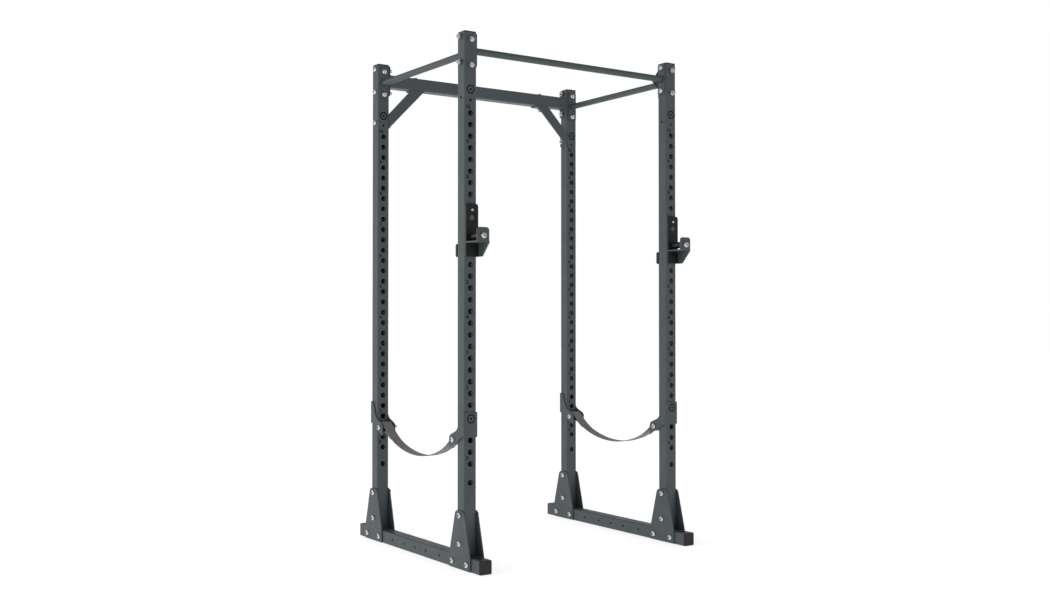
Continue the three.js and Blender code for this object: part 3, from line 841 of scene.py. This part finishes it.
def front_bar():
    """The front bar's flanges have a pointed ear that reaches back past the upright; a thin black
    pad on each ear's inner face is painted shade.
    """
    y, z = -POST_Y, X_JOINT_Z
    front, back = y - BAR_FLANGE_HALF_WIDTH, y + BAR_FLANGE_HALF_WIDTH
    low, high = z - FLANGE_HALF_HEIGHT, z + FLANGE_HALF_HEIGHT
    plate = fillet(
        [
            (front, low, FLANGE_CORNER),
            (back, low, FLANGE_CORNER),
            (back, z - EAR_HALF_HEIGHT, EAR_CORNER),
            (y + EAR_REACH, z, EAR_CORNER),
            (back, z + EAR_HALF_HEIGHT, EAR_CORNER),
            (back, high, FLANGE_CORNER),
            (front, high, FLANGE_CORNER),
        ]
    )
    pull_up_bar("front_pull_up_bar", "x", y, z, plate)

    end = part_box("front_pull_up_bar")[1].x / MM - PLATE
    # Painted shade: these black pads darken the ears' inner faces where the bars shade them.
    shade_pad = fillet(
        [
            (back + EAR_SHADE_PAD_INSET, z - EAR_HALF_HEIGHT + EAR_SHADE_PAD_INSET),
            (y + EAR_REACH - EAR_SHADE_PAD_INSET, z, EAR_CORNER - EAR_SHADE_PAD_INSET),
            (back + EAR_SHADE_PAD_INSET, z + EAR_HALF_HEIGHT - EAR_SHADE_PAD_INSET),
        ]
    )
    for word, sign in (("left", -1), ("right", 1)):
        ends = sorted((sign * end, sign * (end - EAR_SHADE_PAD)))
        mesh = prism(shade_pad, "x", *ends)
        piece(f"ear_shade_pad_{word}", mesh, CAP, "cage", edge=SHADE_PAD_EDGE)


def corner_brace(word, sign):
    inner = POST_X - HALF
    ceiling = X_JOINT_Z - HALF - GAP
    front = POST_Y - HALF
    back = front + BRACE_FLANGE_DEPTH

    def at(distance):
        return sign * (inner - distance)

    strip = fillet(
        [
            (at(GAP), BRACE_LOW, BRACE_CORNER),
            (at(GAP), BRACE_HIGH, 1),
            (at(BRACE_NEAR), ceiling, 1),
            (at(BRACE_FAR), ceiling, BRACE_CORNER),
        ],
        3,
    )
    post_side = sorted((at(GAP), at(GAP + PLATE)))
    under = sorted((at(BRACE_NEAR), at(BRACE_FAR)))
    half_height = (BRACE_HIGH - BRACE_LOW) / 2
    upright_flange = rectangle(
        BRACE_FLANGE_DEPTH / 2,
        half_height,
        BRACE_FLANGE_CORNER,
        (front + back) / 2,
        BRACE_LOW + half_height,
    )
    mesh = unite(
        prism(strip, "y", front, front + PLATE),
        prism(upright_flange, "x", *post_side),
        block((under[0], front + JOIN, ceiling - PLATE), (under[1], back, ceiling)),
    )
    cage_steel(f"corner_brace_{word}", mesh)
    outside = sign * (POST_X + HALF + GAP)
    inside = sign * (inner - GAP - PLATE)
    bolt(f"brace_bolt_{word}_upright", "x", (0, POST_Y, BRACE_HOLE), outside, inside, "cage")
    above, below = X_JOINT_Z + HALF, ceiling - PLATE
    middle = (under[0] + under[1]) / 2
    bolt(f"brace_bolt_{word}_crossmember", "z", (middle, POST_Y, 0), above, below, "cage")


def joint_bolts(post):
    outside = post.x + post.out_x * (HALF + GAP)
    inside = post.x - post.out_x * (HALF + GAP + PLATE + GAP)
    x_seats = (outside, inside) if post.out_y > 0 else (inside, outside)
    far = post.y + post.out_y * HALF
    near = post.y - post.out_y * (HALF + GAP + PLATE)
    for word, step in (("upper", JOINT_BOLT_STEP), ("lower", -JOINT_BOLT_STEP)):
        node = f"joint_bolt_{post.key}_{word}"
        bolt(f"zinc_{node}", "x", (0, post.y, X_JOINT_Z + step), *x_seats, "cage", [node])
        name = f"side_bar_bolt_{post.key}_{word}"
        bolt(name, "y", (post.x, 0, Y_JOINT_Z + step), near, far, "cage")


# ---- roller J-cups -------------------------------------------------------------------
FACE = -POST_Y - HALF
CUP_PLATE_BACK = FACE - GAP
CUP_PLATE_FRONT = CUP_PLATE_BACK - PLATE
LINER_BACK = CUP_PLATE_FRONT - GAP
LINER_FRONT = LINER_BACK - CUP_LINER
LIP_BACK = LINER_FRONT - CUP_THROAT
LIP_FRONT = LIP_BACK - PLATE
WING_NEAR = HALF + GAP
WING_FAR = WING_NEAR + PLATE
POST_BACK = -POST_Y + HALF
TAB_NEAR = POST_BACK + 2 * GAP + CUP_LINER
TAB_FAR = TAB_NEAR + PLATE
WING_TOP = CUP_SHELF_TOP - PLATE
CUP_FOLD = 9


def cup_frame(word, x):
    plate = fillet(
        [
            (x - HALF, CUP_BOTTOM, CUP_FOOT_CORNER),
            (x + WING_FAR, CUP_BOTTOM, 2),
            (x + WING_FAR, CUP_SHELF_TOP, 3),
            (x + HALF, CUP_SHELF_TOP),
            (x + HALF, CUP_TOP, CUP_TOP_CORNER),
            (x - HALF, CUP_TOP, CUP_TOP_CORNER),
        ]
    )
    lip = fillet(
        [
            (x - HALF, WING_TOP),
            (x + HALF, WING_TOP),
            (x + HALF, CUP_LIP_TOP, LIP_CORNER),
            (x - HALF, CUP_LIP_TOP, LIP_CORNER),
        ]
    )
    wing = fillet(
        [
            (FACE - CUP_WING_FOOT, CUP_BOTTOM, CUP_WING_CORNER),
            (TAB_FAR, CUP_BOTTOM, CUP_WING_CORNER),
            (TAB_FAR, WING_TOP, CUP_WING_CORNER),
            (FACE, CUP_SHELF_TOP),
            (LIP_FRONT, CUP_SHELF_TOP, 3),
        ]
    )
    middle = (WING_TOP + CUP_BOTTOM) / 2
    half_height = (WING_TOP - CUP_BOTTOM) / 2
    tab_half_width = (HALF + WING_FAR) / 2
    tab_x = x + (WING_FAR - HALF) / 2
    tab = rectangle(tab_half_width, half_height, CUP_TAB_CORNER, tab_x, middle)
    folded = fillet(
        [
            (x - HALF, CUP_SHELF_TOP),
            (x + WING_FAR, CUP_SHELF_TOP, CUP_FOLD),
            (x + WING_FAR, CUP_BOTTOM - JOIN),
            (x + WING_NEAR, CUP_BOTTOM - JOIN),
            (x + WING_NEAR, WING_TOP, 2),
            (x - HALF, WING_TOP),
        ]
    )
    shelf_and_wing = overlap(
        prism(folded, "y", LIP_FRONT - JOIN, CUP_PLATE_BACK),
        prism(wing, "x", x - HALF - JOIN, x + WING_FAR + JOIN),
    )
    behind = block(
        (x + WING_NEAR, CUP_PLATE_FRONT, CUP_BOTTOM - JOIN),
        (x + WING_FAR, TAB_FAR + JOIN, CUP_SHELF_TOP + JOIN),
    )
    wing_behind = overlap(prism(wing, "x", x + WING_NEAR - JOIN, x + WING_FAR + JOIN), behind)
    mesh = unite(
        prism(plate, "y", CUP_PLATE_FRONT, CUP_PLATE_BACK),
        shelf_and_wing,
        wing_behind,
        prism(lip, "y", LIP_FRONT, LIP_BACK),
        prism(tab, "y", TAB_NEAR, TAB_FAR),
        rod(PIN_D, "y", (x, 0, CUP_PIN_Z), LINER_FRONT + PIN_SUNK, FACE + PIN_REACH),
    )
    node = f"j_cup_frame_{word}"
    body = f"j_cup_{word}"
    piece(f"steel_{node}", mesh, STEEL, body, [node], FOLDED_EDGE)


def liner(name, word, mesh):
    node = f"j_cup_{name}_liner_{word}"
    body = f"j_cup_{word}"
    piece(
        f"plastic_{node}", mesh, LINER, body, [node], LINER_EDGE, PLASTIC_SEGMENTS
    )


def cup_liners(word, x):
    upper = fillet(
        [
            (x - HALF, CUP_SHELF_TOP + GAP),
            (x + HALF, CUP_SHELF_TOP + GAP),
            (x + HALF, CUP_TOP, CUP_TOP_CORNER),
            (x - HALF, CUP_TOP, CUP_TOP_CORNER),
        ]
    )
    at = (x, 0, CUP_PIN_Z)
    window = rod(PIN_WINDOW_D, "y", at, LINER_FRONT - JOIN, LINER_BACK + JOIN, FINE)
    liner("upper", word, cut(prism(upper, "y", LINER_FRONT, LINER_BACK), window))

    lower = fillet(
        [
            (x - HALF, CUP_BOTTOM, CUP_FOOT_CORNER),
            (x + HALF, CUP_BOTTOM),
            (x + HALF, WING_TOP - GAP),
            (x - HALF, WING_TOP - GAP),
        ]
    )
    liner("lower", word, prism(lower, "y", LINER_FRONT, LINER_BACK))

    half_height = (WING_TOP - CUP_BOTTOM) / 2
    middle = CUP_BOTTOM + half_height
    rear = rectangle(HALF - GAP / 2, half_height, CUP_TAB_CORNER, x, middle)
    liner("rear", word, prism(rear, "y", POST_BACK + GAP, POST_BACK + GAP + CUP_LINER))


def cup_roller(word, x):
    """A nylon roller with rounded ends and a bore for its axle."""
    front, back = LIP_BACK + 2 * GAP, LINER_FRONT - 2 * GAP
    radius = ROLLER_D / 2
    end_radius = ROLLER_END_D / 2
    shoulder = radius - ROLLER_SHOULDER_DROP
    profile = [
        (front, 0),
        (front, end_radius),
        (front + ROLLER_SHOULDER, shoulder),
        (front + ROLLER_ROUNDING, radius),
        (back - ROLLER_ROUNDING, radius),
        (back - ROLLER_SHOULDER, shoulder),
        (back, end_radius),
        (back, 0),
    ]
    place = Matrix.Translation(Vector((x, 0, ROLLER_Z)) * MM) @ TURN_TO["y"]
    at = (x, 0, ROLLER_Z)
    bore = rod(ROLLER_BORE_D, "y", at, front - JOIN, back + JOIN, 32)
    node = f"j_cup_roller_{word}"
    mesh = cut(moved(turned(profile, FINE), place), bore)
    body = f"roller_{word}"
    piece(f"nylon_{node}", mesh, ROLLER, body, [node], ROLLER_EDGE)


def cup_fasteners(word, x):
    """The axle bolt, with its head on the lip, and the liner's two screws."""
    body = f"j_cup_{word}"
    node = f"j_cup_axle_{word}"
    length = CUP_PLATE_BACK - JOIN - LIP_FRONT
    place = Matrix.Translation(Vector((x, LIP_FRONT, ROLLER_Z)) * MM) @ TURN_TO["y"]
    head = moved(HEAD, Matrix.Diagonal((*AXLE_HEAD_SCALE, 1)))
    axle = moved(joined([head, shank_shape(AXLE_D, length)]), place)
    piece(f"zinc_{node}", axle, ZINC, body, [node], ZINC_EDGE)

    screw = moved(HEAD, Matrix.Diagonal((*SCREW_SCALE, 1)))
    for number, z in enumerate(CUP_SCREWS_Z, 1):
        material = ZINC if number == 1 else CAP
        place = Matrix.Translation(Vector((x, LINER_FRONT, z)) * MM) @ TURN_TO["y"]
        name = f"liner_screw_{word}_{number}"
        piece(name, moved(screw, place), material, body, edge=SCREW_EDGE)


# ---- strap safeties ------------------------------------------------------------------
CHEEK_NEAR = HALF + GAP
CHEEK_FAR = CHEEK_NEAR + STRAP_PLATE
FOLD_OUT = 8
FOLD_IN = 3
HANG_STEPS = 44
WRAP_STEPS = 20
FOLD_STEPS = 16
BLANK_REACH = 100  # the folded blank, before trimming, reaches this far past the cheeks
SLEEVE_END_GAP = 1.5


def strap_bracket(post):
    """A U of plate around the upright: the U in plan, trimmed to the cheeks' outline."""
    back = -HALF - GAP
    front = back - STRAP_PLATE
    plan = fillet(
        [
            (-CHEEK_FAR, BLANK_REACH),
            (-CHEEK_FAR, front, FOLD_OUT),
            (CHEEK_FAR, front, FOLD_OUT),
            (CHEEK_FAR, BLANK_REACH),
            (CHEEK_NEAR, BLANK_REACH),
            (CHEEK_NEAR, back, FOLD_IN),
            (-CHEEK_NEAR, back, FOLD_IN),
            (-CHEEK_NEAR, BLANK_REACH),
        ]
    )
    cheek = fillet(
        [
            (front - JOIN, STRAP_BOTTOM, STRAP_CORNER),
            *STRAP_CHEEK,
            (front - JOIN, STRAP_TOP, STRAP_CORNER),
        ]
    )
    blank = prism(plan, "z", STRAP_BOTTOM - BLANK_REACH, STRAP_TOP + BLANK_REACH)
    shell = overlap(blank, prism(cheek, "x", -2 * HALF, 2 * HALF))
    pins = []
    for z in STRAP_PIN_HEIGHTS:
        pins.append(rod(PIN_D, "y", (0, 0, z), back - JOIN, back + STRAP_PIN_REACH))
    turn = Matrix.Rotation(math.pi if post.out_y > 0 else 0, 4, "Z")
    place = Matrix.Translation(Vector((post.x, post.y, 0)) * MM) @ turn
    node = f"strap_bracket_{post.key}"
    mesh = moved(unite(shell, *pins), place)
    piece(f"steel_{node}", mesh, STEEL, node, [node], FOLDED_EDGE)
    mark = moved(hexagon_mark(0, STRAP_MARK_Z, front), place)
    piece(f"bracket_mark_{post.key}", mark, MARK, node)

    at = (0, post.y - post.out_y * STRAP_BOLT_IN, STRAP_BOLT_Z)
    seats = (post.x - CHEEK_FAR, post.x + CHEEK_FAR)
    bolt(f"zinc_strap_bolt_{post.key}", "x", at, *seats, node, [f"strap_bolt_{post.key}"])
    strap_sleeve(post, at, node)


def strap_sleeve(post, at, body):
    """The sleeve on the strap bolt that the strap turns round, flat on the upright's side."""
    bolt_y = at[1]
    half_length = CHEEK_NEAR - SLEEVE_END_GAP
    start, end = post.x - half_length, post.x + half_length
    flat = bolt_y + post.out_y * SLEEVE_FLAT
    low_y, high_y = sorted((flat, bolt_y - post.out_y * SLEEVE_D))
    room = block(
        (start - JOIN, low_y, STRAP_BOLT_Z - SLEEVE_D),
        (end + JOIN, high_y, STRAP_BOLT_Z + SLEEVE_D),
    )
    sleeve = overlap(rod(SLEEVE_D, "x", at, start, end), room)
    piece(f"strap_sleeve_{post.key}", sleeve, CAP, body, edge=SLEEVE_EDGE)


def strap_path():
    """Half of the strap's centre line in (y, z), from its lowest point to the bolt at
    +Y, round the sleeve and back under itself."""
    bolt_y = POST_Y - STRAP_BOLT_IN
    wrap = SLEEVE_D / 2 + STRAP_THICKNESS / 2 + STRAP_SLACK
    sag = STRAP_BOLT_Z - STRAP_LOW
    slope = math.atan2(2 * sag, bolt_y)
    over = Vector((-math.sin(slope), math.cos(slope)))

    def hang(t, under=0.0):
        """The hanging run, which rises to the top of its sleeve as t nears 1."""
        rise = max(0.0, (t - STRAP_LIFT_FROM) / (1 - STRAP_LIFT_FROM)) ** 2
        return Vector((bolt_y * t, STRAP_LOW + sag * t * t)) + over * (wrap * rise - under)

    run = [hang(i / HANG_STEPS) for i in range(HANG_STEPS + 1)]
    centre = Vector((bolt_y, STRAP_BOLT_Z))
    for i in range(1, WRAP_STEPS + 1):
        angle = math.pi * i / WRAP_STEPS
        run.append(centre + Matrix.Rotation(-angle, 2) @ (over * wrap))
    # The free end comes back under the strap and is sewn to it.
    back = Vector((-math.cos(slope), -math.sin(slope)))
    below = run[-1].copy()
    layer = STRAP_THICKNESS + STRAP_LAYER_GAP
    for i in range(1, FOLD_STEPS + 1):
        gone = STRAP_FOLD * i / FOLD_STEPS
        closed = hang(1 - gone / math.hypot(bolt_y, 2 * sag), layer)
        ease = min(1.0, gone / STRAP_EASE)
        ease = ease * ease * (3 - 2 * ease)
        run.append((below + back * gone).lerp(closed, ease))
    furthest = bolt_y + SLEEVE_FLAT + wrap - SLEEVE_D / 2
    return [Vector((min(point.x, furthest), point.y)) for point in run]


def smooth_path(points, passes=3):
    """Evens out kinks, and leaves the ends where they are."""
    line = [point.copy() for point in points]
    for _ in range(passes):
        line = [
            line[0],
            *[(a + 2 * b + c) / 4 for a, b, c in zip(line, line[1:], line[2:])],
            line[-1],
        ]
    return line


STRAP_COLUMNS = 10
SELVEDGE = 0.7  # width of the rounded edge
SELVEDGE_THIN = 0.72  # its thickness, as a share of the strap's


def webbing_mesh(line, x, sign):
    """A flat band with rounded edges, swept along a line in (y, z), mirrored to either
    end by sign, with a UV map in metres along and across it."""
    half = STRAP_WIDTH / 2
    thin = STRAP_THICKNESS / 2
    section = [(-half, 0.0)]
    for i in range(STRAP_COLUMNS + 1):
        u = (half - SELVEDGE) * (2 * i / STRAP_COLUMNS - 1)
        section.append((u, thin * (1.0 if 0 < i < STRAP_COLUMNS else SELVEDGE_THIN)))
    section.append((half, 0.0))
    section += [(u, -v) for u, v in reversed(section[1:-1])]
    bm = bmesh.new()
    uv_layer = bm.loops.layers.uv.new("strap")
    run = 0.0
    rings = []
    for i, point in enumerate(line):
        before, after = line[max(0, i - 1)], line[min(len(line) - 1, i + 1)]
        ahead = (after - before).normalized()
        normal = Vector((-ahead.y, ahead.x))
        if i:
            run += (point - line[i - 1]).length
        ring = []
        for u, v in section:
            at = point + normal * v
            ring.append(bm.verts.new(Vector((x + u, sign * at.x, at.y)) * MM))
        rings.append((ring, run))
    count = len(section)
    for (one, start), (two, end) in zip(rings, rings[1:]):
        for i in range(count):
            j = (i + 1) % count
            face = bm.faces.new((one[i], one[j], two[j], two[i]))
            left, right = section[i][0], section[j][0]
            corners = ((left, start), (right, start), (right, end), (left, end))
            for loop, (across, along) in zip(face.loops, corners):
                loop[uv_layer].uv = (across * MM, sign * along * MM)
    for ring, _ in (rings[0], rings[-1]):
        bm.faces.new(ring)
    return to_mesh(bm), run


def safety_strap(word, x):
    line = smooth_path(strap_path())
    for end, sign in (("front", -1), ("rear", 1)):
        mesh, length = webbing_mesh(line, x, sign)
        node = f"safety_strap_{word}"
        strap = bpy.data.objects.new(f"webbing_{node}_{end}", mesh)
        bpy.context.scene.collection.objects.link(strap)
        for polygon in mesh.polygons:
            polygon.use_smooth = True
        mesh.materials.append(WEBBING)
        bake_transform(strap)
        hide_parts(node)


# ---- the object ----------------------------------------------------------------------
for post in POSTS:
    upright(post)
    floor_cap(post)
    foot_plates(post)
    joint_bolts(post)
    strap_bracket(post)

for word, sign in (("left", -1), ("right", 1)):
    x = sign * POST_X
    floor_tube(word, x)
    side_bar(word, x)
    corner_brace(word, sign)
    cup_frame(word, x)
    cup_liners(word, x)
    cup_roller(word, x)
    cup_fasteners(word, x)
    safety_strap(word, x)

crossmember()
front_bar()

# ---- floor, world and light ----------------------------------------------------------
FLOOR_HALF = 30.0
FLOOR_GLOW = 0.64  # keeps the floor white, as the backdrop is

floor_mesh = bpy.data.meshes.new("floor")
signs = [(-1, -1), (1, -1), (1, 1), (-1, 1)]
floor_corners = [(a * FLOOR_HALF, b * FLOOR_HALF, 0) for a, b in signs]
floor_mesh.from_pydata(floor_corners, [], [(0, 1, 2, 3)])
floor = bpy.data.objects.new("floor", floor_mesh)
bpy.context.scene.collection.objects.link(floor)
floor_nodes = Nodes("pale_floor", roughness=0.9, specular=0.1)
floor_nodes.shader.inputs["Base Color"].default_value = (0.9, 0.9, 0.9, 1)
floor_nodes.shader.inputs["Emission Color"].default_value = (1, 1, 1, 1)
floor_nodes.shader.inputs["Emission Strength"].default_value = FLOOR_GLOW
floor_mesh.materials.append(floor_nodes.material)

LIT_SIDE = 0.88  # the studio's brightness on the object's left and behind it
DIM_SIDE = 0.64  # and on its right
CEILING = 0.4  # how much of that is left overhead
LIT_HEADING = math.radians(150)  # where the bright side is, from +X towards +Y
SIDE_FALL = 0.75  # how far to either side, out of 1, the brightness still changes
CEILING_FROM = 0.25  # how far up, out of 1, it begins to dim
CEILING_FULL = 0.85  # and how far up it is dimmest


def studio_world():
    """A soft white studio, brighter on one side and dimmer overhead, before a white
    backdrop."""
    world = bpy.data.worlds.new("studio")
    world.use_nodes = True
    tree = world.node_tree
    backdrop = tree.nodes["Background"]
    backdrop.inputs["Color"].default_value = (1, 1, 1, 1)
    room = tree.nodes.new("ShaderNodeBackground")
    room.inputs["Color"].default_value = (1, 1, 1, 1)
    place = tree.nodes.new("ShaderNodeTexCoord")
    turned_way = tree.nodes.new("ShaderNodeMapping")
    turned_way.inputs["Rotation"].default_value = (0, 0, -LIT_HEADING)
    direction = tree.nodes.new("ShaderNodeSeparateXYZ")
    tree.links.new(place.outputs["Generated"], turned_way.inputs["Vector"])
    tree.links.new(turned_way.outputs["Vector"], direction.inputs[0])

    def fall(source, start, end, low, high):
        node = tree.nodes.new("ShaderNodeMapRange")
        node.interpolation_type = "SMOOTHSTEP"
        values = {"From Min": start, "From Max": end, "To Min": low, "To Max": high}
        for key, value in values.items():
            node.inputs[key].default_value = value
        tree.links.new(direction.outputs[source], node.inputs["Value"])
        return node.outputs["Result"]

    strength = tree.nodes.new("ShaderNodeMath")
    strength.operation = "MULTIPLY"
    tree.links.new(fall("X", -SIDE_FALL, SIDE_FALL, DIM_SIDE, LIT_SIDE), strength.inputs[0])
    tree.links.new(fall("Z", CEILING_FROM, CEILING_FULL, 1.0, CEILING), strength.inputs[1])
    tree.links.new(strength.outputs[0], room.inputs["Strength"])
    seen = tree.nodes.new("ShaderNodeMixShader")
    rays = tree.nodes.new("ShaderNodeLightPath")
    tree.links.new(rays.outputs["Is Camera Ray"], seen.inputs[0])
    tree.links.new(room.outputs[0], seen.inputs[1])
    tree.links.new(backdrop.outputs[0], seen.inputs[2])
    tree.links.new(seen.outputs[0], tree.nodes["World Output"].inputs["Surface"])
    bpy.context.scene.world = world


KEY_AT = (-5.0, 3.2, 1.9)
KEY_AIM = (0.0, 0.0, 1.1)
KEY_SIZE = 2.6
KEY_POWER = 36


def key_light():
    """A large soft light to the left of the object and behind it."""
    light = bpy.data.lights.new("key", "AREA")
    light.shape = "SQUARE"
    light.size = KEY_SIZE
    light.energy = KEY_POWER
    obj = bpy.data.objects.new("key", light)
    obj.location = KEY_AT
    aim = Vector(KEY_AIM) - Vector(KEY_AT)
    obj.rotation_euler = aim.to_track_quat("-Z", "Y").to_euler()
    obj.visible_camera = False
    bpy.context.scene.collection.objects.link(obj)


studio_world()
key_light()
bpy.context.scene.view_settings.view_transform = "Standard"
